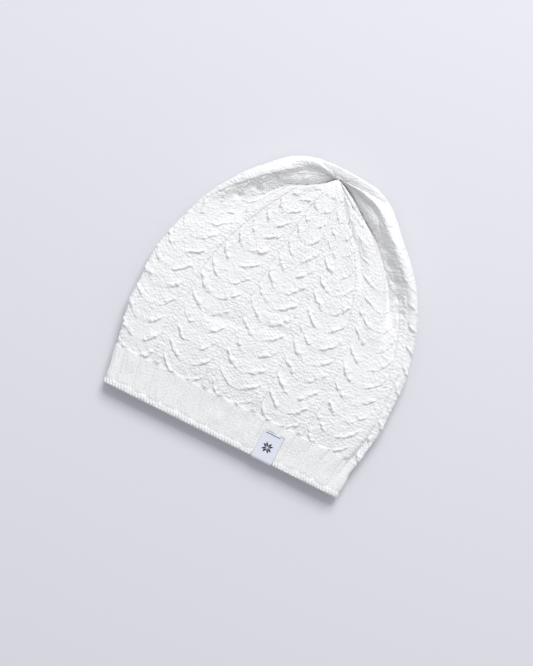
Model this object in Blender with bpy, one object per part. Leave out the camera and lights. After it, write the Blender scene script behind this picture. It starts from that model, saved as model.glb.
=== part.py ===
"""Knit cap laid flat: a hollow cable-knit crown, a ribbed band and a folded woven label.

Metres, +Z up from the surface that the cap lies on, +Y from the hem to the crown, +X to the
right as the front is seen from above. The lowest middle point of the whole is the origin.

The crown is one closed shell. Its outside is a tube of knitting, flattened on the surface and
closed at a gather that lies on the upper side, just short of the far edge, so the back panels
roll over the top. Round the tube run ten columns of stacked horseshoe cables with a stockinette
spine between each two, and folds run down from the gather.
"""
import bpy
import numpy as np

# Whole cap
CAP_LENGTH = 0.2546
CAP_WIDTH = 0.2450
CAP_THICKNESS = 0.0172
KNIT_WALL = 0.0026
PIECE_GAP = 0.0003
FLAT_BELOW = 0.00004

# Knit pattern
COLUMNS = 10
HORSESHOES = 14
CABLE_RELIEF = 0.0017
SPINE_RELIEF = 0.0009
SPINE_SHARE = 0.23
ARM_RISE = 0.66
ARM_DROP = 0.26
RIBS_A_COLUMN = 3
RIB_RELIEF = 0.0007

# Band, hem and label
BAND_SHARE = 0.129
HEM_ROUND = 0.0012
HEM_LIFT = 0.0022
LABEL_CENTRE_X = 0.0390
LABEL_WIDTH = 0.0190
LABEL_HEIGHT = 0.0238
LABEL_FLAP_LENGTH = 0.0200
LABEL_THICKNESS = 0.0007
STITCH_LENGTH = 0.0136
STITCH_WIDTH = 0.0009
STITCH_THICKNESS = 0.0005
STITCH_INSET = 0.0006

# Mesh fineness
STEPS_A_COLUMN = 8
BAND_STEPS_A_RIB = 4
INNER_ROWS = 18

# Each row is one ring of the tube, from the hem (0) to the gather (1). Left and right are shares
# of half the width; the three up columns are shares of the length, at the side folds, the front
# middle and the back middle; the three high columns are shares of the thickness; square is how
# square the ring's section is.
RINGS = np.array([
    # up, left, right, side up, front up, back up, front high, side high, back high, square
    (0.000, -0.906, 0.904, 0.000, 0.000, 0.000, 0.67, 0.36, 0.00, 7.0),
    (0.065, -0.924, 0.908, 0.065, 0.063, 0.065, 0.71, 0.37, 0.00, 7.0),
    (0.129, -0.948, 0.928, 0.124, 0.124, 0.124, 0.78, 0.40, 0.00, 7.0),
    (0.190, -0.972, 0.956, 0.186, 0.183, 0.187, 0.90, 0.43, 0.00, 7.0),
    (0.300, -1.006, 0.981, 0.300, 0.287, 0.305, 0.98, 0.47, 0.00, 6.5),
    (0.430, -1.010, 0.974, 0.440, 0.412, 0.450, 1.00, 0.50, 0.00, 6.0),
    (0.560, -0.952, 0.906, 0.585, 0.537, 0.605, 1.00, 0.50, 0.00, 5.5),
    (0.680, -0.846, 0.786, 0.720, 0.652, 0.750, 1.00, 0.50, 0.00, 5.0),
    (0.780, -0.700, 0.606, 0.830, 0.748, 0.860, 1.00, 0.50, 0.00, 4.2),
    (0.860, -0.555, 0.440, 0.906, 0.824, 0.945, 0.98, 0.52, 0.02, 3.4),
    (0.910, -0.445, 0.335, 0.946, 0.872, 0.985, 0.97, 0.58, 0.12, 2.8),
    (0.945, -0.355, 0.245, 0.964, 0.906, 0.998, 0.95, 0.70, 0.44, 2.4),
    (0.970, -0.262, 0.140, 0.968, 0.930, 0.991, 0.88, 0.80, 0.82, 2.1),
    (0.988, -0.165, 0.020, 0.964, 0.948, 0.973, 0.72, 0.72, 0.76, 2.0),
    (1.000, -0.090, -0.062, 0.959, 0.957, 0.962, 0.54, 0.54, 0.56, 2.0),
])

# Each row is one stockinette spine: how far round the ring it lies, from the left fold over the
# front, as a share of the whole way round, at the hem and near the gather.
SPINES = np.array([
    # spine, hem share, gather share
    (0, -0.006, 0.050),
    (1, 0.089, 0.125),
    (2, 0.186, 0.205),
    (3, 0.282, 0.283),
    (4, 0.374, 0.361),
    (5, 0.468, 0.450),
    (6, 0.573, 0.545),
    (7, 0.679, 0.667),
    (8, 0.784, 0.790),
    (9, 0.890, 0.925),
    (10, 0.994, 1.050),
])

# Each row is one fold that runs down from the gather: the column line it follows low down and at
# the gather, where that line starts to bend, its half widths in columns on the left and right, its
# depth as a share of the thickness (a ridge is negative), where it starts and where it is deepest,
# as shares of the way up.
FOLDS = np.array([
    # low line, gather line, bends, left half, right half, depth, starts, deepest
    (-0.10, 0.40, 0.90, 0.34, 0.40, -0.15, 0.66, 0.86),
    (0.63, 1.50, 0.88, 0.74, 0.20, 0.56, 0.68, 0.88),
    (1.12, 1.75, 0.88, 0.28, 0.30, -0.06, 0.62, 0.86),
    (1.66, 1.90, 0.90, 0.30, 0.20, 0.06, 0.82, 0.95),
    (2.50, 2.50, 0.90, 0.30, 0.30, 0.05, 0.88, 0.96),
    (4.04, 3.22, 0.77, 0.09, 0.26, 0.12, 0.64, 0.80),
    (3.62, 2.90, 0.78, 0.34, 0.26, -0.04, 0.70, 0.86),
    (4.50, 3.32, 0.85, 0.12, 0.20, 0.10, 0.83, 0.92),
    (4.78, 4.05, 0.84, 0.34, 0.50, 0.46, 0.58, 0.82),
    (5.34, 4.95, 0.88, 0.30, 0.34, -0.14, 0.66, 0.86),
    (5.62, 5.50, 0.88, 0.28, 0.34, 0.26, 0.87, 0.95),
    (6.60, 6.60, 0.90, 0.34, 0.34, 0.02, 0.93, 0.98),
    (7.95, 7.95, 0.90, 0.40, 0.40, 0.03, 0.94, 0.98),
    (9.30, 9.30, 0.90, 0.36, 0.36, 0.02, 0.93, 0.98),
])

# Each row is one shallow dent or crease in the front: its middle, its half sizes, how many
# columns it leans over along its height, and its depth as a share of the thickness.
DENTS = np.array([
    # columns round, up, half columns, half up, lean, depth
    (1.72, 0.372, 0.62, 0.020, 0.035, 0.10),
    (2.74, 0.425, 0.50, 0.022, 0.030, 0.09),
    (0.60, 0.500, 0.55, 0.060, 0.000, 0.04),
    (3.60, 0.300, 0.60, 0.060, 0.000, 0.03),
    (4.40, 0.470, 0.50, 0.070, 0.000, 0.04),
    (5.16, 0.100, 0.09, 0.130, 0.000, 0.09),
])


def ease(x, low, high):
    """0 below low, 1 above high, and the smooth cubic 3t^2 - 2t^3 between them."""
    t = np.clip((x - low) / (high - low), 0.0, 1.0)
    return t * t * (3.0 - 2.0 * t)


def bump(x):
    """A smooth hill: (1 - x^2)^2 between -1 and 1, and 0 outside."""
    return np.clip(1.0 - x * x, 0.0, 1.0) ** 2


def through(x, xs, ys):
    """Cubic through the points xs, ys, whose slope at each is the harmonic mean of its neighbours'."""
    step = np.diff(xs)
    rate = np.diff(ys) / step
    slope = np.zeros_like(ys)
    slope[0] = rate[0]
    slope[-1] = rate[-1]
    wide = 2.0 * step[1:] + step[:-1]
    near = step[1:] + 2.0 * step[:-1]
    same = rate[:-1] * rate[1:] > 0
    mean = np.zeros_like(wide)
    mean[same] = (wide + near)[same] / (wide[same] / rate[:-1][same] + near[same] / rate[1:][same])
    slope[1:-1] = mean
    i = np.clip(np.searchsorted(xs, x, side="right") - 1, 0, len(xs) - 2)
    t = (x - xs[i]) / step[i]
    start = (1.0 + 2.0 * t) * (1.0 - t) ** 2 * ys[i]
    leave = t * (1.0 - t) ** 2 * step[i] * slope[i]
    end = t * t * (3.0 - 2.0 * t) * ys[i + 1]
    arrive = t * t * (t - 1.0) * step[i] * slope[i + 1]
    return start + leave + end + arrive


def ring_sections(up, count=720):
    """The closed ring at each height in up, from the left fold over the front and back beneath."""
    columns = [through(up, RINGS[:, 0], RINGS[:, k])[:, None] for k in range(1, 10)]
    left, right, side, front, back, front_z, side_z, back_z, square = columns
    turn = np.linspace(0.0, 2.0 * np.pi, count + 1)[None, :]
    across = -np.cos(turn)
    over = np.sin(turn)
    power = 2.0 / square
    across = np.sign(across) * np.abs(across) ** power
    height = np.abs(over) ** power
    upper = over >= 0
    half = CAP_WIDTH / 2.0
    x = half * ((left + right) / 2.0 + (right - left) / 2.0 * across)
    round_front = 1.0 - 0.50 * ease(up, 0.60, 0.93)[:, None]
    round_back = 1.0 - 0.66 * ease(up, 0.60, 0.93)[:, None]
    room = np.clip(1.0 - across * across, 0.0, 1.0)
    reach = np.where(upper, (front - side) * room ** round_front, (back - side) * room ** round_back)
    y = CAP_LENGTH * (side + reach)
    z = CAP_THICKNESS * (side_z + np.where(upper, front_z - side_z, back_z - side_z) * height)
    lift = HEM_LIFT * (x / half) ** 2 * (1.0 - ease(up, 0.0, 0.30))[:, None]
    z = z + np.where(upper, lift * height, 0.0)
    return np.stack([x, y, z], axis=-1)


def along_ring(section, share):
    """Points of one closed ring at the given shares of its length."""
    steps = np.sqrt((np.diff(section, axis=0) ** 2).sum(axis=1))
    length = np.concatenate([[0.0], np.cumsum(steps)])
    length /= length[-1]
    return np.stack([np.interp(share % 1.0, length, section[:, k]) for k in range(3)], axis=-1)


def spine_share(column, up):
    """Share of the way round at which a column line lies, at one height."""
    blend = ease(up, 0.5, 1.0)
    marks = SPINES[:, 1] * (1.0 - blend) + SPINES[:, 2] * blend
    return np.interp(column % COLUMNS, SPINES[:, 0] * COLUMNS / 10.0, marks)


def fold_depth(column, up):
    """How far down the folds and dents press the upper side, in metres."""
    depth = np.zeros_like(column * up)
    for low, top, bends, left, right, share, starts, full in FOLDS:
        line = low + (top - low) * ease(up, bends, 0.99)
        away = (column - line + COLUMNS / 2.0) % COLUMNS - COLUMNS / 2.0
        fade = ease(up, starts, full) * (1.0 - 0.45 * ease(up, 0.965, 1.0))
        depth += share * bump(away / np.where(away < 0.0, left, right)) * fade
    for middle, at, half, tall, lean, share in DENTS:
        away = (column - middle + COLUMNS / 2.0) % COLUMNS - COLUMNS / 2.0
        depth += share * bump(away / half) * bump((up - at - lean * away) / tall)
    return depth * CAP_THICKNESS


class Surface:
    """The tube's smooth outside as a fine grid, round in columns and up in shares, with normals."""

    def __init__(self):
        self.ups = np.concatenate([np.linspace(0.0, 0.85, 171), np.linspace(0.8525, 1.0, 60)])
        self.rounds = np.linspace(0.0, COLUMNS, COLUMNS * 40 + 1)
        sections = ring_sections(self.ups)
        points = np.zeros((len(self.ups), len(self.rounds), 3))
        for i, up in enumerate(self.ups):
            points[i] = along_ring(sections[i], spine_share(self.rounds, up))
        grid_round, grid_up = np.meshgrid(self.rounds, self.ups)
        upper = ease(self.normals(points)[..., 2], -0.30, 0.20)
        points[..., 2] -= fold_depth(grid_round, grid_up) * upper
        self.points = points
        self.normal = self.normals(self.points)

    def normals(self, points):
        """Outward unit normals, from the slopes of the grid both ways."""
        ring = np.concatenate([points[:, -2:-1], points, points[:, 1:2]], axis=1)
        round_slope = ring[:, 2:] - ring[:, :-2]
        up_slope = np.gradient(points, self.ups, axis=0)
        normal = np.cross(round_slope, up_slope)
        return normal / np.maximum(np.linalg.norm(normal, axis=-1, keepdims=True), 1e-12)

    def at(self, column, up):
        """Points and normals at any columns round and shares up, by weighting four neighbours."""
        column = np.asarray(column, float) % COLUMNS
        up = np.clip(np.asarray(up, float), 0.0, 1.0)
        i = np.clip(np.searchsorted(self.ups, up, side="right") - 1, 0, len(self.ups) - 2)
        j = np.clip((column * 40).astype(int), 0, len(self.rounds) - 2)
        s = ((up - self.ups[i]) / (self.ups[i + 1] - self.ups[i]))[..., None]
        t = (column * 40 - j)[..., None]
        found = []
        for grid in (self.points, self.normal):
            low = grid[i, j] * (1.0 - t) + grid[i, j + 1] * t
            high = grid[i + 1, j] * (1.0 - t) + grid[i + 1, j + 1] * t
            found.append(low * (1.0 - s) + high * s)
        normal = found[1] / np.linalg.norm(found[1], axis=-1, keepdims=True)
        return found[0], normal


def arm_shift(away, count):
    """How far a horseshoe's arm has climbed at a distance from its middle, in horseshoes.

    The climb eases to nothing towards the gather, where the columns close up.
    """
    return ARM_RISE * ease(away, 0.16, 0.78) * (1.0 - ease(count, 9.5, 13.6))


def arm_row(away, mark):
    """Horseshoes passed on the way up at each point of one row of knitting.

    The row lies mark horseshoes up in the middle of its column and climbs beside it, so the
    count is mark plus the climb at that count, found by repeating the sum.
    """
    count = np.full_like(away, mark)
    for _ in range(12):
        count = mark + arm_shift(away, count)
    return count


def cable_relief(column, count):
    """Height of the knit above the smooth tube: arms of the horseshoes and spines between them.

    count is the number of horseshoes passed on the way up. Each arm is a saw-tooth: a steep lower
    edge at its crease and a long slope above it.
    """
    away = np.abs((column % 1.0) * 2.0 - 1.0)
    phase = (count + ARM_DROP - arm_shift(away, count) + 1.0e-6) % 1.0
    tooth = ease(phase, 0.0, 0.20) * (1.0 - ease(phase, 0.20, 1.0))
    strength = 0.22 + 0.78 * ease(away, 0.22, 0.45) * (1.0 - ease(away, 0.66, 0.84))
    spine = ease(away, 1.0 - SPINE_SHARE - 0.08, 1.0 - SPINE_SHARE + 0.10)
    return CABLE_RELIEF * strength * tooth * (1.0 - 0.6 * spine) + SPINE_RELIEF * spine


def bare_below(normal):
    """1 on the upper side and the folds, 0 where the cap lies pressed on the surface."""
    return ease(normal[..., 2], -0.75, 0.05)


def laid_flat(points):
    """Points that lie within a hair of the surface under the cap are put on it."""
    points[..., 2] = np.where(points[..., 2] < FLAT_BELOW, 0.0, points[..., 2])
    return points


def grid_faces(rows, around):
    """Quads of a closed grid of rows, each of the same number of points round."""
    i = np.arange(rows - 1)[:, None] * around
    j = np.arange(around)[None, :]
    k = (j + 1) % around
    return np.stack([i + j, i + k, i + around + k, i + around + j], axis=-1).reshape(-1, 4).tolist()


def leaning_faces(rows, around, steps):
    """Triangles of a closed grid whose diagonals lean one way left of each column's middle and the
    other way right of it, so both arms of a horseshoe are cut alike."""
    i = np.repeat(np.arange(rows - 1), around) * around
    j = np.tile(np.arange(around), rows - 1)
    a, b = i + j, i + (j + 1) % around
    c, d = b + around, a + around
    left = (j % steps < steps // 2)[:, None]
    first = np.where(left, np.stack([a, c, b], -1), np.stack([a, d, b], -1))
    second = np.where(left, np.stack([a, d, c], -1), np.stack([b, d, c], -1))
    return first.tolist() + second.tolist()


def add_mesh(name, points, faces, colour, rough):
    """One named object with its own material, in the part's collection."""
    mesh = bpy.data.meshes.new(name)
    mesh.from_pydata([tuple(p) for p in points], [], faces)
    mesh.validate()
    mesh.update()
    thing = bpy.data.objects.new(name, mesh)
    PART.objects.link(thing)
    material = bpy.data.materials.new(name + "_material")
    material.use_nodes = True
    shader = material.node_tree.nodes["Principled BSDF"]
    shader.inputs["Base Color"].default_value = colour
    shader.inputs["Roughness"].default_value = rough
    mesh.materials.append(material)
    return thing


def build_crown(surface):
    """The knit body: outside with its cables, inside one wall in, closed at the gather."""
    start = BAND_SHARE
    step = (1.0 - start) / HORSESHOES
    around = COLUMNS * STEPS_A_COLUMN
    column = np.arange(around) / STEPS_A_COLUMN
    away = np.abs((column % 1.0) * 2.0 - 1.0)
    rows = []
    first, _ = surface.at(column, np.full(around, start))
    rows.append(laid_flat(first))
    marks = [k + part - ARM_DROP for k in range(HORSESHOES) for part in (0.0, 0.20, 0.60)]
    marks += [HORSESHOES - 0.26, HORSESHOES - 0.09]
    for mark in [m for m in marks if m > 0.1]:
        count = arm_row(away, mark)
        up = start + step * count
        place, normal = surface.at(column, up)
        height = cable_relief(column, count) * (1.0 - ease(up, 0.86, 0.97)) * bare_below(normal)
        place = place + normal * height[:, None]
        rows.append(laid_flat(place))
    outer = len(rows)
    inner_top = 0.865
    inner_rows = []
    for up in np.linspace(start, inner_top, INNER_ROWS):
        place, normal = surface.at(column, np.full(around, up))
        inner_rows.append(place - normal * KNIT_WALL)
    last = inner_rows[-1]
    pole_in = last.mean(axis=0) + np.array([0.0, CAP_LENGTH * 0.012, 0.0])
    for share in (0.72, 0.36):
        inner_rows.append(pole_in + (last - pole_in) * share)
    points = [p for row in rows for p in row]
    faces = leaning_faces(outer, around, STEPS_A_COLUMN)
    peak = len(points)
    top, _ = surface.at(column, np.ones(around))
    points.append(top.mean(axis=0))
    ring = (outer - 1) * around
    faces += [(peak, ring + (j + 1) % around, ring + j) for j in range(around)]
    base = len(points)
    points += [p for row in inner_rows for p in row]
    faces += [tuple(base + n for n in f) for f in grid_faces(len(inner_rows), around)]
    pole = len(points)
    points.append(pole_in)
    ring = base + (len(inner_rows) - 1) * around
    faces += [(pole, ring + j, ring + (j + 1) % around) for j in range(around)]
    for j in range(around):
        k = (j + 1) % around
        faces.append((j, k, base + k, base + j))
    return add_mesh("crown", points, faces, (0.87, 0.86, 0.84, 1.0), 0.9)


def rib_relief(column):
    """Ribs of the band: rounded ridges with narrow valleys, some to each column."""
    phase = (column * RIBS_A_COLUMN) % 1.0
    return RIB_RELIEF * np.sin(np.pi * phase) ** 0.7


def build_band(surface):
    """The ribbed band: a ring of knitting that is one wall thick and rounded at the hem."""
    around = COLUMNS * RIBS_A_COLUMN * BAND_STEPS_A_RIB
    column = np.arange(around) / (RIBS_A_COLUMN * BAND_STEPS_A_RIB)
    top = BAND_SHARE - PIECE_GAP / CAP_LENGTH * (BAND_SHARE / 0.124)
    relief = rib_relief(column)
    rows = []
    for up in (top, top * 0.55, 0.022, 0.0):
        place, normal = surface.at(column, np.full(around, up))
        place = place + normal * (relief * bare_below(normal))[:, None]
        rows.append(laid_flat(place))
    place, normal = surface.at(column, np.zeros(around))
    for share, drop in ((0.25, 0.80), (0.50, 1.0), (0.75, 0.80)):
        edge = place - normal * (KNIT_WALL * share)
        edge[:, 1] -= HEM_ROUND * drop
        rows.append(edge)
    for up in (0.0, top * 0.5, top):
        place, normal = surface.at(column, np.full(around, up))
        rows.append(place - normal * KNIT_WALL)
    points = [p for row in rows for p in row]
    count = len(rows)
    faces = grid_faces(count, around)
    last = (count - 1) * around
    for j in range(around):
        k = (j + 1) % around
        faces.append((last + j, last + k, k, j))
    return add_mesh("brim_band", points, faces, (0.88, 0.87, 0.85, 1.0), 0.9)


def front_height(x, up):
    """Height of the smooth front of the band over the surface at x, away from the side folds."""
    section = ring_sections(np.atleast_1d(up))[0]
    half = len(section) // 2
    return np.interp(x, section[:half, 0], section[:half, 2])


def label_path(x, lift):
    """The label's path at one x, lift away from the band: down the front, round, up inside."""
    outside = RIB_RELIEF + PIECE_GAP + lift
    inside = KNIT_WALL + PIECE_GAP + lift
    path = []
    for y in np.linspace(LABEL_HEIGHT, 0.0, 4):
        up = y / CAP_LENGTH
        path.append((x, y, front_height(x, up) + outside))
    centre = front_height(x, 0.0) + (RIB_RELIEF - KNIT_WALL) / 2.0
    radius = (KNIT_WALL + RIB_RELIEF) / 2.0 + PIECE_GAP + lift
    for turn in np.radians([30.0, 60.0, 90.0, 120.0, 150.0]):
        reach = HEM_ROUND * 0.35 + radius
        path.append((x, -reach * np.sin(turn), centre + radius * np.cos(turn)))
    for y in np.linspace(0.0, LABEL_FLAP_LENGTH, 4):
        up = y / CAP_LENGTH
        path.append((x, y, front_height(x, up) - inside))
    return path


def build_label():
    """A woven tab folded round the hem: two layers of path joined into one closed strip."""
    xs = np.linspace(LABEL_CENTRE_X - LABEL_WIDTH / 2.0, LABEL_CENTRE_X + LABEL_WIDTH / 2.0, 6)
    points = []
    for x in xs:
        near = label_path(x, 0.0)
        far = label_path(x, LABEL_THICKNESS)
        points += near + far[::-1]
    ring = len(points) // len(xs)
    faces = grid_faces(len(xs), ring)
    faces = [f[::-1] for f in faces]
    half = ring // 2
    for first, flip in ((0, False), ((len(xs) - 1) * ring, True)):
        for k in range(half - 1):
            face = (first + k, first + k + 1, first + ring - 2 - k, first + ring - 1 - k)
            faces.append(face[::-1] if flip else face)
    return add_mesh("label", points, faces, (0.80, 0.84, 0.92, 1.0), 0.5)


def build_stitch():
    """The dark row of stitches along the label's upper edge: a thin bar that lies on the label."""
    xs = np.linspace(LABEL_CENTRE_X - STITCH_LENGTH / 2.0, LABEL_CENTRE_X + STITCH_LENGTH / 2.0, 6)
    y_low = LABEL_HEIGHT - STITCH_WIDTH - STITCH_INSET
    points = []
    for x in xs:
        base = front_height(x, LABEL_HEIGHT / CAP_LENGTH)
        base += RIB_RELIEF + LABEL_THICKNESS + 2.0 * PIECE_GAP
        for y, z in ((0.0, 0.0), (STITCH_WIDTH, 0.0), (STITCH_WIDTH, 0.6), (0.6 * STITCH_WIDTH, 1.0),
                     (0.4 * STITCH_WIDTH, 1.0), (0.0, 0.6)):
            points.append((x, y_low + y, base + z * STITCH_THICKNESS))
    faces = grid_faces(len(xs), 6)
    faces.append(tuple(range(5, -1, -1)))
    last = (len(xs) - 1) * 6
    faces.append(tuple(range(last, last + 6)))
    return add_mesh("label_stitch", points, faces, (0.02, 0.03, 0.09, 1.0), 0.6)


def turn_outward(thing):
    """Turns a closed mesh inside out if the sum of its signed volumes is below zero."""
    mesh = thing.data
    mesh.calc_loop_triangles()
    spots = np.array([v.co[:] for v in mesh.vertices])
    tris = np.array([t.vertices[:] for t in mesh.loop_triangles])
    a, b, c = spots[tris[:, 0]], spots[tris[:, 1]], spots[tris[:, 2]]
    volume = np.einsum("ij,ij->i", a, np.cross(b, c)).sum() / 6.0
    if volume < 0:
        mesh.flip_normals()


for old in list(bpy.data.objects):
    bpy.data.objects.remove(old, do_unlink=True)
PART = bpy.data.collections.new("knit_cap")
bpy.context.scene.collection.children.link(PART)

SMOOTH_TUBE = Surface()
pieces = [build_crown(SMOOTH_TUBE), build_band(SMOOTH_TUBE), build_label(), build_stitch()]
for piece in pieces:
    turn_outward(piece)
corners = np.array([v.co[:] for piece in pieces for v in piece.data.vertices])
middle = (corners.min(axis=0) + corners.max(axis=0)) / 2.0
shift = np.array([middle[0], middle[1], corners[:, 2].min()])
for piece in pieces:
    for vertex in piece.data.vertices:
        vertex.co = np.array(vertex.co[:]) - shift
    piece.data.update()
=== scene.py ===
"""Looks of the knit cap: cable-knit crown, ribbed band with its cast-on edge, and folded woven label.

Metres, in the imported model's frame: +Z up from the surface that the cap lies on, +Y from the hem to
the crown, +X to the right as the front is seen from above. The knitting is one tube. Every point of
it has a column (0 to 10 round the tube, from the left fold over the front and back beneath) and a
share of the way up (0 at the hem, 1 at the gather). The smooth tube comes from tables of rings,
folds and dents; cables and stitches are heights added along its outward normal.
"""
import math

import bpy
import numpy as np
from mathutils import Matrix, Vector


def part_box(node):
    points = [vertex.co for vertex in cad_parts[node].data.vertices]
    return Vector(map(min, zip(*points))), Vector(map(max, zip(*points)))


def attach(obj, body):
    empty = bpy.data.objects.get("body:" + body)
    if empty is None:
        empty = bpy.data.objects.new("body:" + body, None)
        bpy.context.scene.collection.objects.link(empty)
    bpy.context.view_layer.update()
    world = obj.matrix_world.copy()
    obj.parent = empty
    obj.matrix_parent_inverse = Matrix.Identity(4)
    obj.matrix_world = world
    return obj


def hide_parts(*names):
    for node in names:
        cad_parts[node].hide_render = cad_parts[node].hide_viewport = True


# Whole cap; the shares are of the way up from the hem to the gather
CAP_LENGTH = 0.2546
CAP_WIDTH = 0.2450
CAP_THICKNESS = 0.0172
KNIT_WALL = 0.0026
BAND_SHARE = 0.129
TOP_SHARE = 0.86
GATHER_PINCH = 0.0012

# Knit pattern
COLUMNS = 10
HORSESHOES = 14
SPINE_SHARE = 0.17
ARM_RISE = 0.86
ARM_REACH = 0.86
ARM_DROP = 0.26
CABLE_RELIEF = 0.0013
CREASE_DEPTH = 0.00012
SPINE_RELIEF = 0.0009
WALES_A_COLUMN = 16
ROWS_A_HORSESHOE = 5
CHEVRON_RISE = 0.14
STITCH_RELIEF = 0.00045
RIBS_A_COLUMN = 3
RIB_RELIEF = 0.0010
ROWS_IN_BAND = 11.0

# Unevenness of the knit: the broad swell, the fluff of the crown and the streaks of the band
SWELL = 0.0005
FLUFF = 0.00034
STREAKS = 0.00030

# Cast-on edge
HEM_RELIEF = 0.0016
HEM_LEAN = 0.0070
BEAD_MIDDLE = 0.0008
BEAD_HALF = 0.0030
HEM_WAVE = 0.0006
HEM_ROUND = 0.0012
HEM_LIFT = 0.0022
EDGE_REACH = 0.00132

# Label, its star and the knit pressed under it
LABEL_CENTRE_X = 0.0390
LABEL_WIDTH = 0.0190
LABEL_HEIGHT = 0.0238
LABEL_FLAP_LENGTH = 0.0200
LABEL_THICKNESS = 0.0005
PIECE_GAP = 0.0003
STAR_PETAL = 0.0024
STAR_HEIGHT = 0.0108
STAR_THREAD = 0.09
PRESS_EDGE = 0.0015
PRESS_SHARE = 0.8

# Stitches that hold the label
STITCH_ROW = 0.0136
STITCH_INSET = 0.0011
STITCHES = 9
STITCH_REACH = 0.56
STITCH_SLANT = 0.35
THREAD_HALF_WIDE = 0.00034
THREAD_HALF_HIGH = 0.00026

# Mesh fineness
STEPS_A_COLUMN = 96
LOW_ROWS = 370
TOP_ROWS = 80
BAND_ROWS = 58
RING_POINTS = 1440
INSIDE_STRIDE = 4
INSIDE_ROWS = 13
EDGE_STEP = 15.0
LABEL_COLUMNS = 39
LABEL_ROWS = 49
FOLD_ROWS = 15
FLAP_ROWS = 25

# Sizes of the patterns in the cloths, and their colours
COLOUR_DRIFT = 0.016667
YARN_FLUFF = 0.001613
YARN_FIBRE = 0.0003846
SATIN_FLOAT = 0.0001333
YARN_LIGHT = "e8e8e7"
YARN_SHADE = "e3e3e3"
SATIN_GROUND = "d7dbe4"
SATIN_STAR = "1a1f2e"
THREAD_NAVY = "1b2238"
FLOOR_PALE = "d3d3d8"
WORLD_WHITE = "f6f7fd"

# Floor, light and camera; the picture is VIEW_TALL high at VIEW_LEVEL above the floor
FLOOR_SIZE = 3.0
FLOOR_DROP = 0.0002
WORLD_LIGHT = 0.61
WINDOW_PLACE = (-0.10, 2.15, 2.15)
WINDOW_SIZE = 1.51
WINDOW_POWER = 81.5
VIEW_TALL = 0.5728
VIEW_LEVEL = 0.008
VIEW_MIDDLE = (-0.0040, -0.0271)
VIEW_TURN = math.radians(26.6)
LENS = 85.0
SENSOR = 36.0

# Each row is one ring of the tube, from the hem (0) to the gather (1). Left and right are shares
# of half the width; the three up columns are shares of the length, at the side folds, the front
# middle and the back middle; the three high columns are shares of the thickness; square is how
# square the ring's section is.
RINGS = np.array([
    # up, left, right, side up, front up, back up, front high, side high, back high, square
    (0.000, -0.906, 0.904, 0.000, 0.000, 0.000, 0.67, 0.36, 0.00, 7.0),
    (0.065, -0.924, 0.908, 0.065, 0.063, 0.065, 0.71, 0.37, 0.00, 7.0),
    (0.129, -0.948, 0.928, 0.124, 0.124, 0.124, 0.78, 0.40, 0.00, 7.0),
    (0.190, -0.972, 0.956, 0.186, 0.183, 0.187, 0.90, 0.43, 0.00, 7.0),
    (0.300, -1.006, 0.981, 0.300, 0.287, 0.305, 0.98, 0.47, 0.00, 6.5),
    (0.430, -1.010, 0.974, 0.440, 0.412, 0.450, 1.00, 0.50, 0.00, 6.0),
    (0.560, -0.952, 0.906, 0.585, 0.537, 0.605, 1.00, 0.50, 0.00, 5.5),
    (0.680, -0.846, 0.786, 0.720, 0.652, 0.750, 1.00, 0.50, 0.00, 5.0),
    (0.780, -0.700, 0.606, 0.830, 0.748, 0.860, 1.00, 0.50, 0.00, 4.2),
    (0.860, -0.555, 0.440, 0.906, 0.824, 0.945, 0.98, 0.52, 0.02, 3.4),
    (0.910, -0.445, 0.335, 0.946, 0.872, 0.985, 0.97, 0.58, 0.12, 2.8),
    (0.945, -0.355, 0.245, 0.964, 0.906, 0.998, 0.95, 0.70, 0.44, 2.4),
    (0.970, -0.262, 0.140, 0.968, 0.930, 0.991, 0.88, 0.80, 0.82, 2.1),
    (0.988, -0.165, 0.020, 0.964, 0.948, 0.973, 0.72, 0.72, 0.76, 2.0),
    (1.000, -0.090, -0.062, 0.959, 0.957, 0.962, 0.54, 0.54, 0.56, 2.0),
])

# Each row is one stockinette spine: how far round the ring it lies, from the left fold over the
# front, as a share of the whole way round, at the hem and near the gather.
SPINES = np.array([
    # spine, hem share, gather share
    (0, -0.006, 0.050),
    (1, 0.089, 0.125),
    (2, 0.186, 0.205),
    (3, 0.282, 0.283),
    (4, 0.374, 0.361),
    (5, 0.468, 0.450),
    (6, 0.573, 0.545),
    (7, 0.679, 0.667),
    (8, 0.784, 0.790),
    (9, 0.890, 0.925),
    (10, 0.994, 1.050),
])

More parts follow.
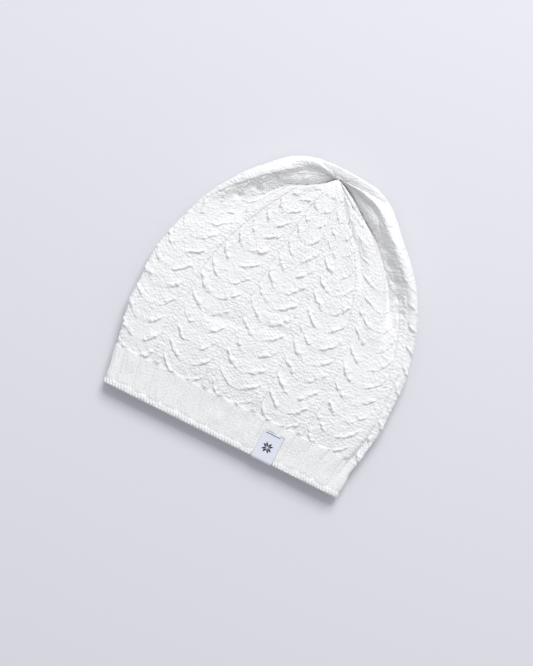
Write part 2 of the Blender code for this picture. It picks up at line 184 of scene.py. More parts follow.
# Each row is one fold that runs down from the gather: the column line it follows low down and at
# the gather, where that line starts to bend, its half widths in columns on the left and right, how
# many times wider than that it opens at the gather, its depth as a share of the thickness (a ridge
# is negative), where it starts and where it is deepest, as shares of the way up.
FOLDS = np.array([
    # low line, gather line, bends, left half, right half, opens, depth, starts, deepest
    (-0.10, -0.50, 0.90, 0.34, 0.44, 1.0, -0.30, 0.62, 0.80),
    (0.76, 1.62, 0.86, 0.84, 0.14, 2.6, 0.46, 0.53, 0.78),
    (0.66, 1.58, 0.86, 0.30, 0.16, 2.0, 0.22, 0.70, 0.84),
    (1.12, 1.75, 0.88, 0.28, 0.30, 1.0, -0.02, 0.62, 0.86),
    (1.66, 1.90, 0.90, 0.30, 0.20, 1.0, 0.06, 0.82, 0.95),
    (2.50, 2.50, 0.90, 0.30, 0.30, 1.0, 0.05, 0.88, 0.96),
    (4.04, 3.22, 0.77, 0.07, 0.24, 1.0, 0.20, 0.64, 0.78),
    (3.62, 2.90, 0.78, 0.34, 0.26, 1.0, -0.02, 0.70, 0.86),
    (4.50, 3.32, 0.85, 0.12, 0.20, 1.0, 0.10, 0.83, 0.92),
    (4.66, 3.96, 0.83, 0.12, 0.52, 1.9, 0.44, 0.45, 0.68),
    (4.72, 4.00, 0.82, 0.12, 0.26, 1.5, 0.25, 0.54, 0.66),
    (5.22, 5.16, 0.88, 0.28, 0.30, 1.0, -0.34, 0.50, 0.70),
    (5.62, 5.50, 0.88, 0.28, 0.34, 1.0, 0.20, 0.87, 0.95),
    (6.60, 6.60, 0.90, 0.34, 0.34, 1.0, 0.02, 0.93, 0.98),
    (7.95, 7.95, 0.90, 0.40, 0.40, 1.0, 0.03, 0.94, 0.98),
    (9.30, 9.30, 0.90, 0.36, 0.36, 1.0, 0.02, 0.93, 0.98),
])

# Each row is one shallow dent or crease in the front: its middle, its half sizes, how many
# columns it leans over along its height, and its depth as a share of the thickness.
DENTS = np.array([
    # columns round, up, half columns, half up, lean, depth
    (1.72, 0.372, 0.62, 0.026, 0.035, 0.065),
    (2.74, 0.425, 0.50, 0.028, 0.030, 0.060),
    (0.60, 0.500, 0.55, 0.060, 0.000, 0.04),
    (3.60, 0.300, 0.60, 0.060, 0.000, 0.03),
    (4.40, 0.470, 0.50, 0.070, 0.000, 0.04),
    (5.10, 0.150, 0.10, 0.150, 0.000, 0.18),
    (4.96, 0.625, 0.11, 0.014, 0.000, 0.09),
    (4.92, 0.668, 0.12, 0.017, 0.000, 0.13),
    (4.90, 0.715, 0.13, 0.018, 0.000, 0.15),
    (4.90, 0.762, 0.14, 0.018, 0.000, 0.15),
    (4.90, 0.812, 0.14, 0.016, 0.000, 0.12),
    (0.36, 0.742, 0.20, 0.018, 0.000, 0.10),
    (0.42, 0.800, 0.20, 0.018, 0.000, 0.10),
])


def ease(x, low, high):
    """0 below low, 1 above high, and the smooth cubic 3t^2 - 2t^3 between them."""
    t = np.clip((x - low) / (high - low), 0.0, 1.0)
    return t * t * (3.0 - 2.0 * t)


def bump(x):
    """A smooth hill: (1 - x^2)^2 between -1 and 1, and 0 outside."""
    return np.clip(1.0 - x * x, 0.0, 1.0) ** 2


def through(x, xs, ys):
    """Cubic through the points xs, ys, whose slope at each is the harmonic mean of its neighbours'."""
    step = np.diff(xs)
    rate = np.diff(ys) / step
    slope = np.zeros_like(ys)
    slope[0] = rate[0]
    slope[-1] = rate[-1]
    wide = 2.0 * step[1:] + step[:-1]
    near = step[1:] + 2.0 * step[:-1]
    same = rate[:-1] * rate[1:] > 0
    mean = np.zeros_like(wide)
    mean[same] = (wide + near)[same] / (wide[same] / rate[:-1][same] + near[same] / rate[1:][same])
    slope[1:-1] = mean
    i = np.clip(np.searchsorted(xs, x, side="right") - 1, 0, len(xs) - 2)
    t = (x - xs[i]) / step[i]
    start = (1.0 + 2.0 * t) * (1.0 - t) ** 2 * ys[i]
    leave = t * (1.0 - t) ** 2 * step[i] * slope[i]
    end = t * t * (3.0 - 2.0 * t) * ys[i + 1]
    arrive = t * t * (t - 1.0) * step[i] * slope[i + 1]
    return start + leave + end + arrive


def ring_sections(up):
    """The closed ring at each height in up, from the left fold over the front and back beneath.

    The upper and the lower half of a ring are each half a superellipse with 2 / square as power.
    Its front and back run ahead of its side folds by a share of the length, times 1 less the
    square of the place across, to a power that falls towards the gather. The front of the hem
    lifts with the square of the distance from the middle.
    """
    columns = [through(up, RINGS[:, 0], RINGS[:, k])[:, None] for k in range(1, 10)]
    left, right, side, front, back, front_z, side_z, back_z, square = columns
    turn = np.linspace(0.0, 2.0 * np.pi, RING_POINTS + 1)[None, :]
    across = -np.cos(turn)
    over = np.sin(turn)
    power = 2.0 / square
    across = np.sign(across) * np.abs(across) ** power
    height = np.abs(over) ** power
    upper = over >= 0
    half = CAP_WIDTH / 2.0
    x = half * ((left + right) / 2.0 + (right - left) / 2.0 * across)
    round_front = 1.0 - 0.50 * ease(up, 0.60, 0.93)[:, None]
    round_back = 1.0 - 0.66 * ease(up, 0.60, 0.93)[:, None]
    room = np.clip(1.0 - across * across, 0.0, 1.0)
    reach = np.where(upper, (front - side) * room ** round_front, (back - side) * room ** round_back)
    y = CAP_LENGTH * (side + reach)
    z = CAP_THICKNESS * (side_z + np.where(upper, front_z - side_z, back_z - side_z) * height)
    lift = HEM_LIFT * (x / half) ** 2 * (1.0 - ease(up, 0.0, 0.30))[:, None]
    z = z + np.where(upper, lift * height, 0.0)
    return np.stack([x, y, z], axis=-1)


def along_ring(section, share):
    """Points of one closed ring at the given shares of its length, on straight lines between its own."""
    steps = np.sqrt((np.diff(section, axis=0) ** 2).sum(axis=1))
    length = np.concatenate([[0.0], np.cumsum(steps)])
    length /= length[-1]
    return np.stack([np.interp(share % 1.0, length, section[:, k]) for k in range(3)], axis=-1)


def spine_share(column, up):
    """Share of the way round at which a column line lies: the hem's spacing eased into the gather's."""
    blend = ease(up, 0.5, 1.0)
    marks = SPINES[:, 1] * (1.0 - blend) + SPINES[:, 2] * blend
    return np.interp(column % COLUMNS, SPINES[:, 0] * COLUMNS / 10.0, marks)


def fold_depth(column, up):
    """How far down the folds and dents press the upper side, in metres.

    A fold is 1 less the distance from its line in half widths, to the power 1.25; a ridge is a
    smooth hill instead. Both fade in up the cap and lose 0.45 of their depth at the gather. A
    dent is a hill across times a hill along.
    """
    depth = np.zeros_like(column * up)
    for low, top, bends, left, right, opens, share, starts, full in FOLDS:
        line = low + (top - low) * ease(up, bends, 0.99)
        away = (column - line + COLUMNS / 2.0) % COLUMNS - COLUMNS / 2.0
        fade = ease(up, starts, full) * (1.0 - 0.45 * ease(up, 0.965, 1.0))
        wider = 1.0 + (opens - 1.0) * ease(up, 0.89, 0.98)
        aside = away / np.where(away < 0.0, left, right) / wider
        shape = bump(aside) if share < 0.0 else np.clip(1.0 - np.abs(aside), 0.0, 1.0) ** 1.25
        depth += share * shape * fade
    for middle, at, half, tall, lean, share in DENTS:
        away = (column - middle + COLUMNS / 2.0) % COLUMNS - COLUMNS / 2.0
        depth += share * bump(away / half) * bump((up - at - lean * away) / tall)
    return depth * CAP_THICKNESS


def ring_normals(points, ups):
    """Outward unit normals of a grid of closed rings, from its slopes both ways."""
    ring = np.concatenate([points[:, -1:], points, points[:, :1]], axis=1)
    round_slope = ring[:, 2:] - ring[:, :-2]
    up_slope = np.gradient(points, ups, axis=0)
    normal = np.cross(round_slope, up_slope)
    return normal / np.maximum(np.linalg.norm(normal, axis=-1, keepdims=True), 1e-12)


def smooth_tube(column, ups):
    """Points and outward normals of the folded tube, a grid of one ring for each height.

    Each ring has its points at the column lines' shares of its length. The folds push down what
    looks up, eased by how far the outward normal does.
    """
    sections = ring_sections(ups)
    points = np.zeros((len(ups), len(column), 3))
    for i, up in enumerate(ups):
        points[i] = along_ring(sections[i], spine_share(column, up))
    grid_column, grid_up = np.meshgrid(column, ups)
    upper = ease(ring_normals(points, ups)[..., 2], -0.30, 0.20)
    points[..., 2] -= fold_depth(grid_column, grid_up) * upper
    return points, ring_normals(points, ups)


def uneven(column, up, across, high, seed):
    """Smooth random waviness from -1 to 1: seeded heights on a grid, eased from each to the next.

    The grid has across heights round the tube and high steps up it.
    """
    heights = np.random.default_rng(seed).uniform(-1.0, 1.0, (high + 2, across))
    x = (column / COLUMNS * across) % across
    y = np.clip(up, 0.0, 1.0) * high
    i = np.floor(x).astype(int)
    j = np.floor(y).astype(int)
    s = ease(x - i, 0.0, 1.0)
    t = ease(y - j, 0.0, 1.0)
    i, k = i % across, (i + 1) % across
    low = heights[j, i] * (1.0 - s) + heights[j, k] * s
    top = heights[j + 1, i] * (1.0 - s) + heights[j + 1, k] * s
    return low * (1.0 - t) + top * t


def arm_shift(away, count):
    """How far a horseshoe's arm has climbed at a distance from its middle, in horseshoes.

    It grows with the power 2.1 of that distance, as a share of the arm's reach, up to ARM_RISE. The
    climb eases to nothing from 9.5 horseshoes up to 13.6, where the columns close up.
    """
    return ARM_RISE * np.clip(away / ARM_REACH, 0.0, 1.0) ** 2.1 * (1.0 - ease(count, 9.5, 13.6))


def cable_relief(column, up, count):
    """Height of the cables over the smooth tube: arms of the horseshoes and spines between them.

    Up the height of one horseshoe, 0 to 1, an arm is 0.72 of a rope and 0.28 of a long slope. Both
    rise from the crease in a steep lower edge of 0.15; the rope's back ends at 0.40, the slope runs
    down into the bowl to 1. Arms fade to a tenth in the bowl's middle and end at a groove beside
    the spine. Seeded waviness bends the ropes, lumps them and breaks the crease.
    """
    away = np.abs((column % 1.0) * 2.0 - 1.0)
    turn = count + ARM_DROP - arm_shift(away, count)
    turn = turn + 0.07 * uneven(column, up, 60, 36, 11) + 0.075 * uneven(column, up, 150, 70, 19)
    phase = turn % 1.0
    lumps = np.clip(1.0 + uneven(column, up, 160, 76, 7), 0.20, 1.50)
    edge = ease(phase, 0.0, 0.15)
    rope = edge * (1.0 - ease(phase, 0.16, 0.40)) * lumps
    slope = edge * (1.0 - ease(phase, 0.10, 1.0))
    arm = ease(away, 0.10, 0.40) * (1.0 - ease(away, 0.74, ARM_REACH))
    spine = ease(away, 1.0 - SPINE_SHARE - 0.04, 1.0 - SPINE_SHARE + 0.10)
    broken = ease(uneven(column, up, 90, 70, 13), -0.6, 0.4)
    crease = bump((((phase + 0.5) % 1.0) - 0.495) / 0.055) * arm * broken
    groove = bump((away - 1.0 + SPINE_SHARE + 0.01) / 0.06)
    tooth = (0.72 * rope + 0.28 * slope * lumps) * (0.10 + 0.90 * arm) * (1.0 - spine)
    rise = CABLE_RELIEF * tooth + SPINE_RELIEF * spine
    return rise - CREASE_DEPTH * (crease + 2.0 * groove)


def stitch_height(wale, row):
    """Height from 0 to 1 of a knit stitch: two leaning legs, each a half ellipsoid, in a V.

    wale and row count the stitches across and up. A leg leans 0.33 across for 0.944 up and is 2.0
    long and 0.74 wide, in half sizes, where a wale is 2.8 and a row 3.0. The legs of a row reach
    over the rows above and below.
    """
    lean, stand = 0.33, 0.944
    side = (np.abs(wale % 1.0 - 0.5) - 0.25) * 2.8
    best = np.zeros_like(side)
    for above in (-1.0, 0.0, 1.0):
        rise = (row % 1.0 - 0.5 - above) * 3.0
        along = lean * side + stand * rise
        across = stand * side - lean * rise
        best = np.maximum(best, 1.0 - (along / 2.0) ** 2 - (across / 0.74) ** 2)
    return np.sqrt(best)


def knit_stitches(column, up, count):
    """Stitch height over the crown, 0 to 1 and more at the spines, with each point's wale and row.

    The rows follow the horseshoes and peak at the spines, where they make chevrons with a ridge to
    each row. Wales are taken together by twos and then by fours as the columns narrow towards the
    gather.
    """
    away = np.abs((column % 1.0) * 2.0 - 1.0)
    climb = arm_shift(away, count) + CHEVRON_RISE * np.clip((away - 0.82) / 0.18, 0.0, 1.0)
    row = ROWS_A_HORSESHOE * (count + ARM_DROP - climb) + 0.22 * uneven(column, up, 60, 40, 3)
    wale = WALES_A_COLUMN * column + 0.22 * uneven(column, up, 50, 50, 5)
    fine = stitch_height(wale, row)
    half = stitch_height(wale / 2.0, row)
    quarter = stitch_height(wale / 4.0, row)
    first = ease(up, 0.80, 0.86)
    second = ease(up, 0.93, 0.96)
    height = fine * (1.0 - first) + (half * (1.0 - second) + quarter * second) * first
    spine = ease(away, 1.0 - SPINE_SHARE, 1.0 - SPINE_SHARE + 0.08)
    ridge = np.abs(np.sin(np.pi * row)) ** 0.7 * (1.0 - 0.5 * bump((1.0 - away) / 0.035))
    height = height + (1.3 * ridge - height) * 0.60 * spine * (1.0 - first)
    return height * (1.0 + 0.20 * uneven(column, up, 90, 70, 9)), wale, row


def bare_below(normal):
    """1 on the upper side and the folds, eased by the normal to 0 where the cap lies pressed flat."""
    return ease(normal[..., 2], -0.75, 0.05)


def raise_knit(points, normal, relief, most):
    """Lays relief on the surface along its normal.

    Where it is pressed flat, 0.6 of the relief stays and is measured down from the highest yarn,
    which touches the ground.
    """
    bare = bare_below(normal)
    height = relief * bare + (relief - most) * 0.6 * (1.0 - bare)
    raised = points + normal * height[..., None]
    raised[..., 2] = np.maximum(raised[..., 2], 0.0)
    return raised


def rib_relief(column):
    """Ribs of the band: each a sine to the power 0.8, less a narrow valley between each two."""
    phase = (column * RIBS_A_COLUMN) % 1.0
    aside = np.minimum(phase, 1.0 - phase)
    return RIB_RELIEF * (np.sin(np.pi * phase) ** 0.8 - 0.80 * bump(aside / 0.11))


def hem_chain(wale, drop):
    """Height from 0 to 1 of the cast-on edge: a round bead with one leaning loop to each wale.

    drop is the distance from the hem line in metres, less than nothing where it rounds the edge.
    The bead is half an ellipse; 0.30 of its height is plain, and the rest is a sine to the power
    1.2, which leans by one wale over HEM_LEAN.
    """
    lean = (wale + drop / HEM_LEAN) % 1.0
    loop = np.abs(np.sin(np.pi * lean)) ** 1.2
    bead = np.sqrt(np.clip(1.0 - ((drop - BEAD_MIDDLE) / BEAD_HALF) ** 2, 0.0, 1.0))
    return bead * (0.30 + 0.70 * loop)


# Meshes

def grid_mesh(name, points, normals, wales, closed=False, pole=None, looped=False):
    """A mesh of quads over a grid of points, with its normals and its stitch count as coordinates.

    closed joins the last column to the first, looped joins the last row to the first, and a pole
    closes the last ring with a fan. Columns run to the right and rows run up, as they are seen from
    the side that the faces look to.
    """
    rows, around = points.shape[:2]
    last = around if closed else around - 1
    row_here = np.arange(rows if looped else rows - 1)[:, None]
    i = row_here * around
    above = (row_here + 1) % rows * around
    j = np.arange(last)[None, :]
    k = (j + 1) % around
    loops = np.stack([i + j, i + k, above + k, above + j], axis=-1).reshape(-1, 4)
    starts = np.arange(0, loops.size, 4)
    loops = loops.ravel()
    spots = points.reshape(-1, 3)
    turned = normals.reshape(-1, 3)
    counts = wales.reshape(-1, 2)
    if pole is not None:
        ring = (rows - 1) * around + np.arange(around)
        fan = np.stack([ring, np.roll(ring, -1), np.full(around, rows * around)], axis=-1)
        starts = np.concatenate([starts, loops.size + np.arange(0, fan.size, 3)])
        loops = np.concatenate([loops, fan.ravel()])
        spots = np.concatenate([spots, [pole]])
        turned = np.concatenate([turned, [turned[ring].mean(axis=0)]])
        counts = np.concatenate([counts, [counts[ring].mean(axis=0)]])
    mesh = bpy.data.meshes.new(name)
    mesh.vertices.add(len(spots))
    mesh.vertices.foreach_set("co", spots.astype(np.float32).ravel())
    mesh.loops.add(loops.size)
    mesh.loops.foreach_set("vertex_index", loops.astype(np.int32))
    mesh.polygons.add(len(starts))
    mesh.polygons.foreach_set("loop_start", starts.astype(np.int32))
    mesh.update(calc_edges=True)
    mesh.polygons.foreach_set("use_smooth", np.ones(len(starts), dtype=bool))
    layer = mesh.uv_layers.new(name="stitches")
    layer.data.foreach_set("uv", counts[loops].astype(np.float32).ravel())
    mesh.normals_split_custom_set_from_vertices(turned.astype(np.float32))
    thing = bpy.data.objects.new(name, mesh)
    bpy.context.scene.collection.objects.link(thing)
    return thing


def dress(thing, material, node):
    """Gives a piece its material and its place in the model, and hides the imported part it stands for."""
    thing.data.materials.append(material)
    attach(thing, "root")
    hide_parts(node)
    return thing


# Materials

def colour(code):
    """Linear colour of a six-figure sRGB code."""
    parts = [int(code[k:k + 2], 16) / 255.0 for k in (0, 2, 4)]
    return tuple(p / 12.92 if p <= 0.04045 else ((p + 0.055) / 1.055) ** 2.4 for p in parts) + (1.0,)


def add_node(tree, kind, inputs=(), **values):
    """Adds one node; inputs pairs a socket with a value or with another node's output."""
    made = tree.nodes.new(kind)
    for name, value in values.items():
        setattr(made, name, value)
    for socket, value in inputs:
        if isinstance(value, bpy.types.NodeSocket):
            tree.links.new(value, made.inputs[socket])
        else:
            made.inputs[socket].default_value = value
    return made


def new_material(name, rough, sheen):
    """An empty cloth material: its tree and its shader."""
    material = bpy.data.materials.new(name)
    material.use_nodes = True
    tree = material.node_tree
    shader = tree.nodes["Principled BSDF"]
    shader.inputs["Roughness"].default_value = rough
    shader.inputs["Sheen Weight"].default_value = sheen
    shader.inputs["Sheen Roughness"].default_value = 0.5
    shader.inputs["Specular IOR Level"].default_value = 0.25
    return material, tree, shader


def cotton_yarn(name, light, shade):
    """Brushed cotton yarn, knitted: matt and soft, with no shine.

    Clumps of fibre 0.4 mm wide and fluff 1.6 mm wide roughen it, and its colour drifts over 17 mm.
    """
    material, tree, shader = new_material(name, 0.92, 0.25)
    place = add_node(tree, "ShaderNodeTexCoord").outputs["Object"]

    def noise(size, detail):
        """Smooth noise whose clumps have the given size in metres."""
        settings = [("Vector", place), ("Scale", 1.0 / size), ("Detail", detail)]
        return add_node(tree, "ShaderNodeTexNoise", settings).outputs["Fac"]

    drift = noise(COLOUR_DRIFT, 3.0)
    tint = add_node(tree, "ShaderNodeMix", [("Factor", drift), ("A", light), ("B", shade)], data_type="RGBA")
    tree.links.new(tint.outputs["Result"], shader.inputs["Base Color"])
    fluff = [("Strength", 0.8), ("Distance", 0.0009), ("Height", noise(YARN_FLUFF, 3.0))]
    soft = add_node(tree, "ShaderNodeBump", fluff).outputs["Normal"]
    fibre = [("Strength", 0.6), ("Distance", 0.0002), ("Height", noise(YARN_FIBRE, 2.0))]
    fuzz = add_node(tree, "ShaderNodeBump", fibre + [("Normal", soft)])
    tree.links.new(fuzz.outputs["Normal"], shader.inputs["Normal"])
    return material


def label_satin(name, ground, weft):
    """Woven polyester satin: smooth, with a soft sheen, and an eight-petalled knitting star in dark weft.

    Its floats, 0.13 by 0.07 mm, are too fine to show singly and only soften the sheen. The star's
    petals are parallelograms: with a the larger and b the smaller distance from the star's two axes
    in petal lengths, they fill b and a - b from STAR_THREAD to 1.
    """
    material, tree, shader = new_material(name, 0.42, 0.15)
    place = add_node(tree, "ShaderNodeUVMap", uv_map="stitches").outputs["UV"]
    heights = [("Color1", colour("ffffff")), ("Color2", (0.7, 0.7, 0.7, 1.0)), ("Mortar", colour("000000"))]
    floats = [("Vector", place), ("Scale", 0.5 * STAR_PETAL / SATIN_FLOAT), ("Mortar Size", 0.03)]
    weave = add_node(tree, "ShaderNodeTexBrick", floats + heights)
    grain = add_node(tree, "ShaderNodeBump", [("Strength", 0.3), ("Distance", 0.0001),
                                              ("Height", weave.outputs["Color"])])
    tree.links.new(grain.outputs["Normal"], shader.inputs["Normal"])
    parts = add_node(tree, "ShaderNodeSeparateXYZ", [("Vector", place)]).outputs

    def maths(operation, first, second=0.0):
        """The output of one math node."""
        return add_node(tree, "ShaderNodeMath", [(0, first), (1, second)], operation=operation).outputs[0]

    def in_petal(distance):
        """1 where a distance is more than a thread's width and less than a petal's length."""
        beyond = maths("GREATER_THAN", distance, STAR_THREAD)
        return maths("MULTIPLY", beyond, maths("LESS_THAN", distance, 1.0))

    across = maths("ABSOLUTE", parts["X"])
    along = maths("ABSOLUTE", parts["Y"])
    larger = maths("MAXIMUM", across, along)
    smaller = maths("MINIMUM", across, along)
    star = maths("MULTIPLY", in_petal(smaller), in_petal(maths("SUBTRACT", larger, smaller)))
    tints = [("Factor", star), ("A", colour(ground)), ("B", colour(weft))]
    tint = add_node(tree, "ShaderNodeMix", tints, data_type="RGBA")
    tree.links.new(tint.outputs["Result"], shader.inputs["Base Color"])
    return material


def plain(name, code, rough):
    """Plain spun cotton or sewing thread of one colour: matt, with next to no sheen."""
    material, _, shader = new_material(name, rough, 0.1)
    shader.inputs["Base Color"].default_value = colour(code)
    return material


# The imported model
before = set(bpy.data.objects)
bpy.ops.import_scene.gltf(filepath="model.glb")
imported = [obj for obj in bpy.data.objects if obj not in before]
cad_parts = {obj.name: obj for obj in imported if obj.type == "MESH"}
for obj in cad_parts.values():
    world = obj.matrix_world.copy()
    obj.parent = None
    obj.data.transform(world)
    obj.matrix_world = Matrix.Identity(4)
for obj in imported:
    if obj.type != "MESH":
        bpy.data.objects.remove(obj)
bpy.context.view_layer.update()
label_low, label_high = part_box("label")
label_middle_x = (label_low[0] + label_high[0]) / 2.0
SHIFT = np.array([LABEL_CENTRE_X - label_middle_x, LABEL_HEIGHT - label_high[1], 0.0])

knit = cotton_yarn("brushed_cotton_knit", colour(YARN_LIGHT), colour(YARN_SHADE))
rib_knit = cotton_yarn("brushed_cotton_rib", colour(YARN_LIGHT), colour(YARN_SHADE))
satin = label_satin("woven_satin_label", SATIN_GROUND, SATIN_STAR)
navy = plain("navy_sewing_thread", THREAD_NAVY, 0.7)

# Smooth tube of band and crown
around = COLUMNS * STEPS_A_COLUMN
column = np.arange(around) / STEPS_A_COLUMN
band_ups = np.linspace(0.0, BAND_SHARE, BAND_ROWS + 1)
low_ups = np.linspace(BAND_SHARE, TOP_SHARE, LOW_ROWS + 1)
top_ups = np.linspace(TOP_SHARE, 1.0, TOP_ROWS + 1)
ups = np.concatenate([band_ups, low_ups[1:], top_ups[1:]])
tube, tube_normal = smooth_tube(column, ups)
grid_column, grid_up = np.meshgrid(column, ups)
in_band = grid_up < BAND_SHARE - 1e-9
horseshoe_share = (1.0 - BAND_SHARE) / HORSESHOES
count = (grid_up - BAND_SHARE) / horseshoe_share

# Cables, fainter at the gather, on steep faces and high up beside the front, and the band's ribs
ribs = rib_relief(grid_column)
cables = cable_relief(grid_column, grid_up, np.maximum(count, 0.0)) * (1.0 - ease(grid_up, 0.90, 0.99))
cables = cables * (0.15 + 0.85 * ease(tube_normal[..., 2], 0.20, 0.80))
off_front = 1.0 - bump((grid_column - 2.0) / 3.1)
cables = cables * (1.0 - 0.66 * ease(grid_up, 0.52, 0.72) * off_front)
cables = ribs + (cables - ribs) * ease(grid_up, BAND_SHARE - 0.002, BAND_SHARE + 0.010)

# Stitches, smaller near the gather; in the band the wales stand out more than the rows
height, wale, row = knit_stitches(grid_column, grid_up, count)
band_row = grid_up / BAND_SHARE * ROWS_IN_BAND
band_wale = np.abs(np.sin(np.pi * grid_column * WALES_A_COLUMN)) ** 0.7
band_stitch = 0.55 * band_wale + 0.30 * stitch_height(grid_column * WALES_A_COLUMN, band_row)
stitch = np.where(in_band, band_stitch, height)
size = 1.0 - 0.45 * ease(grid_up, 0.84, 1.0)

# Unevenness
swell = SWELL * uneven(grid_column, grid_up, 34, 20, 23) * ease(grid_up, 0.0, 0.05)
fluff = FLUFF * uneven(grid_column, grid_up, 200, 104, 29)
streak = STREAKS * uneven(grid_column, grid_up, 220, 34, 37)
swell = swell + np.where(in_band, streak, fluff) * ease(grid_up, 0.0, 0.02)
relief = np.where(in_band, ribs, cables) + STITCH_RELIEF * stitch * size + swell

# Knit pressed flatter under the label
beside = np.abs(tube[..., 0] - LABEL_CENTRE_X) - LABEL_WIDTH / 2.0
over = tube[..., 1] - LABEL_HEIGHT
on_front = ease(tube_normal[..., 2], 0.0, 0.5)
pressed = (1.0 - ease(beside, 0.0, PRESS_EDGE)) * (1.0 - ease(over, 0.0, PRESS_EDGE)) * on_front
relief = relief - (relief - 0.6 * RIB_RELIEF) * PRESS_SHARE * pressed

# Cast-on edge, with the relief above it fading in from its loops
hem_drop = grid_up * CAP_LENGTH + HEM_WAVE * uneven(grid_column, grid_up * 0.0, 96, 1, 31)
chain = HEM_RELIEF * hem_chain(grid_column * WALES_A_COLUMN, hem_drop)
chain = chain * (1.0 + 0.40 * uneven(grid_column, grid_up, 140, 1, 17)) * (1.0 - PRESS_SHARE * pressed)
plain_relief = relief * (0.55 + 0.45 * ease(hem_drop, 0.0026, 0.0060))
relief = np.maximum(plain_relief * ease(hem_drop, 0.0004, 0.0030), chain)

# Outer skin
skin = raise_knit(tube, tube_normal, relief, CABLE_RELIEF + STITCH_RELIEF)
skin_normal = ring_normals(skin, np.arange(len(ups), dtype=float))
skin = skin - SHIFT
uv = np.stack([wale, np.where(in_band, band_row, row)], axis=-1)

# Where a coarser grid meets a finer one, the points between sit on the coarser one's edges
odd = np.arange(1, around, 2)
back_odd = odd[(odd > 6 * STEPS_A_COLUMN) & (odd < around - STEPS_A_COLUMN // 2)]
for level, between in ((BAND_ROWS + LOW_ROWS, odd), (BAND_ROWS, back_odd)):
    skin[level, between] = (skin[level, between - 1] + skin[level, (between + 1) % around]) / 2.0


def slab(rows, columns):
    """The part of the outer skin in a range of rows and a list of columns."""
    picked = np.ix_(rows, columns % around)
    return skin[picked], skin_normal[picked], uv[picked]


# Crown: four panels and the gathered top
low = np.arange(BAND_ROWS, BAND_ROWS + LOW_ROWS + 1)
high = np.arange(BAND_ROWS + LOW_ROWS, len(ups))
half = STEPS_A_COLUMN // 2
panels = (
    ("crown_left", -half, 2 * STEPS_A_COLUMN, 1),
    ("crown_middle", 2 * STEPS_A_COLUMN, 4 * STEPS_A_COLUMN, 1),
    ("crown_right", 4 * STEPS_A_COLUMN, 6 * STEPS_A_COLUMN, 1),
    ("crown_back", 6 * STEPS_A_COLUMN, around - half, 2),
)
for name, first, end, stride in panels:
    steps = np.arange(first, end + 1, stride)
    piece = grid_mesh(name, *slab(low, steps))
    dress(piece, knit, "crown")
top, top_normal, top_uv = slab(high, np.arange(0, around, 2))
pinch = top[-1].mean(axis=0) + np.array([0.0, 0.0, -GATHER_PINCH])
piece = grid_mesh("crown_top", top, top_normal, top_uv, closed=True, pole=pinch)
dress(piece, knit, "crown")

# Inside of the crown, one wall in, closed at its top; the wall thins where the gather leaves no room
inner_rows = np.arange(BAND_ROWS, len(ups) - INSIDE_STRIDE, INSIDE_STRIDE)
inner_columns = np.arange(0, around, INSIDE_STRIDE)
picked = np.ix_(inner_rows, inner_columns)
wall = KNIT_WALL * (1.0 - 0.8 * ease(grid_up[picked], 0.86, 0.96))
inner = tube[picked] - tube_normal[picked] * wall[..., None] - SHIFT
inner_uv = uv[picked]
inner_normal = ring_normals(inner, np.arange(len(inner), dtype=float))
piece = grid_mesh("crown_inside", inner[:, ::-1], -inner_normal[:, ::-1], inner_uv[:, ::-1], closed=True,
                  pole=inner[-1].mean(axis=0))
dress(piece, knit, "crown")

# Band: down the inside, round the cast-on edge, up the outside
inside_levels = np.linspace(BAND_SHARE, 0.0, INSIDE_ROWS)
inside, inside_normal = smooth_tube(column, inside_levels[::-1])
inside = (inside - inside_normal * KNIT_WALL)[::-1] - SHIFT
edge_rows = []
half_wall = KNIT_WALL / 2.0
hem_middle = tube[0] - tube_normal[0] * half_wall - SHIFT
for angle in np.radians(np.arange(180.0 - EDGE_STEP, 0.0, -EDGE_STEP)):
    edge = hem_middle + tube_normal[0] * (half_wall * np.cos(angle))
    edge[:, 1] -= HEM_ROUND * np.sin(angle)
    outward = tube_normal[0] * np.cos(angle)
    outward[:, 1] -= np.sin(angle)
    loops = hem_chain(column * WALES_A_COLUMN, -EDGE_REACH * np.sin(angle))
    loops = HEM_RELIEF * loops * (0.5 + 0.5 * np.cos(angle))
    loops = loops * bare_below(tube_normal[0]) * (1.0 - PRESS_SHARE * pressed[0])
    edge_rows.append(edge + outward * loops[:, None])
band = np.concatenate([inside, np.array(edge_rows), skin[:BAND_ROWS + 1]])
band[..., 2] = np.maximum(band[..., 2], 0.0)
band_normal = ring_normals(band, np.arange(len(band), dtype=float))
band_normal[-1] = skin_normal[BAND_ROWS]
path = np.concatenate([-inside_levels, np.linspace(-0.01, 0.0, len(edge_rows)), band_ups])
path = path / BAND_SHARE * ROWS_IN_BAND
band_uv = np.stack(np.meshgrid(column * WALES_A_COLUMN, path), axis=-1)
piece = grid_mesh("knit_band", band, band_normal, band_uv, closed=True, looped=True)
dress(piece, rib_knit, "brim_band")

# Label: one strip of satin, down the front of the band, round the hem and up inside it


def front_height(xs, levels):
    """Height of the smooth front at each of xs, for each height up in levels."""
    sections = ring_sections(levels)
    upper = sections.shape[1] // 2
    return np.stack([np.interp(xs, section[:upper, 0], section[:upper, 2]) for section in sections])


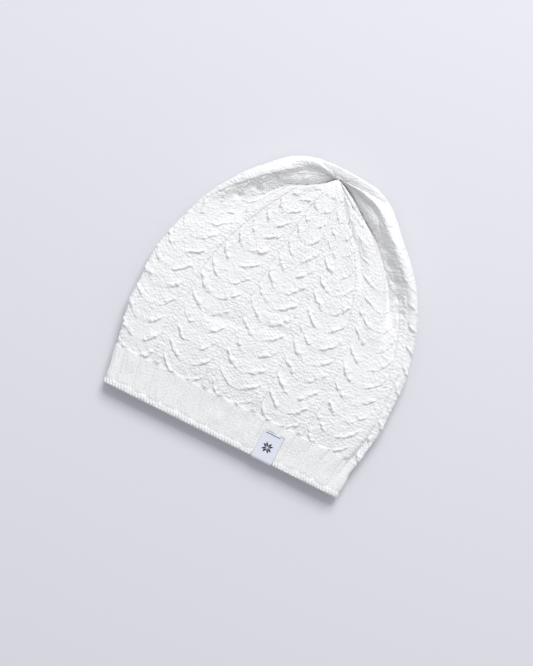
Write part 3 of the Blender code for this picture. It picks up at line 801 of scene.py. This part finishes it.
xs = LABEL_CENTRE_X + np.linspace(-0.5, 0.5, LABEL_COLUMNS) * LABEL_WIDTH
front_y = np.linspace(LABEL_HEIGHT, 0.0, LABEL_ROWS)
flap_y = np.linspace(0.0, LABEL_FLAP_LENGTH, FLAP_ROWS)
arc = np.radians(np.linspace(0.0, 180.0, FOLD_ROWS)[1:-1])[:, None]
radius = (KNIT_WALL + RIB_RELIEF) / 2.0 + PIECE_GAP
hem_z = front_height(xs, np.zeros(1))
outer_z = front_height(xs, front_y / CAP_LENGTH) + RIB_RELIEF + PIECE_GAP
arc_z = hem_z + (RIB_RELIEF - KNIT_WALL) / 2.0 + radius * np.cos(arc)
flap_z = front_height(xs, flap_y / CAP_LENGTH) - KNIT_WALL - PIECE_GAP
fold_reach = HEM_ROUND * 0.35 + radius * 0.7
label_y = np.concatenate([front_y, (-fold_reach * np.sin(arc))[:, 0], flap_y])
label_z = np.concatenate([outer_z, arc_z, flap_z])
strip = np.stack(np.broadcast_arrays(xs[None, :], label_y[:, None], label_z), axis=-1) - SHIFT
strip_normal = np.cross(np.gradient(strip, axis=0), np.gradient(strip, axis=1))
strip_normal /= np.linalg.norm(strip_normal, axis=-1, keepdims=True)
along_strip = np.diff(strip[:, LABEL_COLUMNS // 2], axis=0)
run = np.concatenate([[0.0], np.cumsum(np.linalg.norm(along_strip, axis=-1))])
star_place = np.stack(np.meshgrid(xs - LABEL_CENTRE_X, LABEL_HEIGHT - STAR_HEIGHT - run), axis=-1)
piece = grid_mesh("folded_label", strip[::-1], strip_normal[::-1], star_place[::-1] / STAR_PETAL)
thick = piece.modifiers.new("cloth", "SOLIDIFY")
thick.thickness = LABEL_THICKNESS
thick.offset = 1.0
dress(piece, satin, "label")

# Stitches: short slanting loops of thread, each a stretched ball
turns = np.linspace(0.0, 2.0 * np.pi, 13)[:-1]
rises = np.linspace(-0.5, 0.5, 9)[1:-1] * np.pi
ball = np.stack([np.cos(rises)[:, None] * np.cos(turns), np.cos(rises)[:, None] * np.sin(turns),
                 np.sin(rises)[:, None] * np.ones_like(turns)], axis=-1)
stitch_z = outer_z[2].mean() + LABEL_THICKNESS
shape = ball * np.array([STITCH_ROW / STITCHES * STITCH_REACH, THREAD_HALF_WIDE, THREAD_HALF_HIGH])
shape[..., 1] += shape[..., 0] * STITCH_SLANT
uv_flat = np.zeros(ball.shape[:2] + (2,))
made = []
for k in range(STITCHES):
    middle = LABEL_CENTRE_X + STITCH_ROW * ((k + 0.5) / STITCHES - 0.5)
    spot = np.array([middle, LABEL_HEIGHT - STITCH_INSET, stitch_z]) - SHIFT
    end = spot + np.array([0.0, 0.0, THREAD_HALF_HIGH])
    made.append(grid_mesh("stitch", spot + shape, ball, uv_flat, closed=True, pole=end))
bpy.ops.object.select_all(action="DESELECT")
for one in made:
    one.select_set(True)
bpy.context.view_layer.objects.active = made[0]
bpy.ops.object.join()
made[0].name = "label_stitches"
dress(made[0], navy, "label_stitch")

# Floor
bpy.ops.mesh.primitive_plane_add(size=FLOOR_SIZE, location=(0.0, 0.0, -FLOOR_DROP))
floor = bpy.context.object
floor.name = "floor"
floor.data.materials.append(plain("pale_cloth", FLOOR_PALE, 0.9))

# Light: broad and soft, from beyond the crown
world = bpy.data.worlds.new("studio")
bpy.context.scene.world = world
world.use_nodes = True
world.node_tree.nodes["Background"].inputs["Color"].default_value = colour(WORLD_WHITE)
world.node_tree.nodes["Background"].inputs["Strength"].default_value = WORLD_LIGHT
bpy.context.scene.view_settings.view_transform = "Standard"


def add_light(name, place, towards, size, power):
    """A square area light at a place, turned towards a point."""
    lamp = bpy.data.lights.new(name, "AREA")
    lamp.size = size
    lamp.energy = power
    holder = bpy.data.objects.new(name, lamp)
    bpy.context.scene.collection.objects.link(holder)
    holder.location = place
    away = np.array(place) - np.array(towards)
    tilt = math.acos(away[2] / np.linalg.norm(away))
    holder.rotation_euler = (tilt, 0.0, math.atan2(away[1], away[0]) + math.pi / 2)


add_light("window", WINDOW_PLACE, (0.0, 0.0, 0.0), WINDOW_SIZE, WINDOW_POWER)

# Camera: straight above, turned as the photograph is
camera_data = bpy.data.cameras.new("camera")
camera_data.lens = LENS
camera_data.sensor_width = SENSOR
camera = bpy.data.objects.new("camera", camera_data)
bpy.context.scene.collection.objects.link(camera)
camera.location = (*VIEW_MIDDLE, VIEW_TALL * LENS / SENSOR + VIEW_LEVEL)
camera.rotation_euler = (0.0, 0.0, VIEW_TURN)
bpy.context.scene.camera = camera
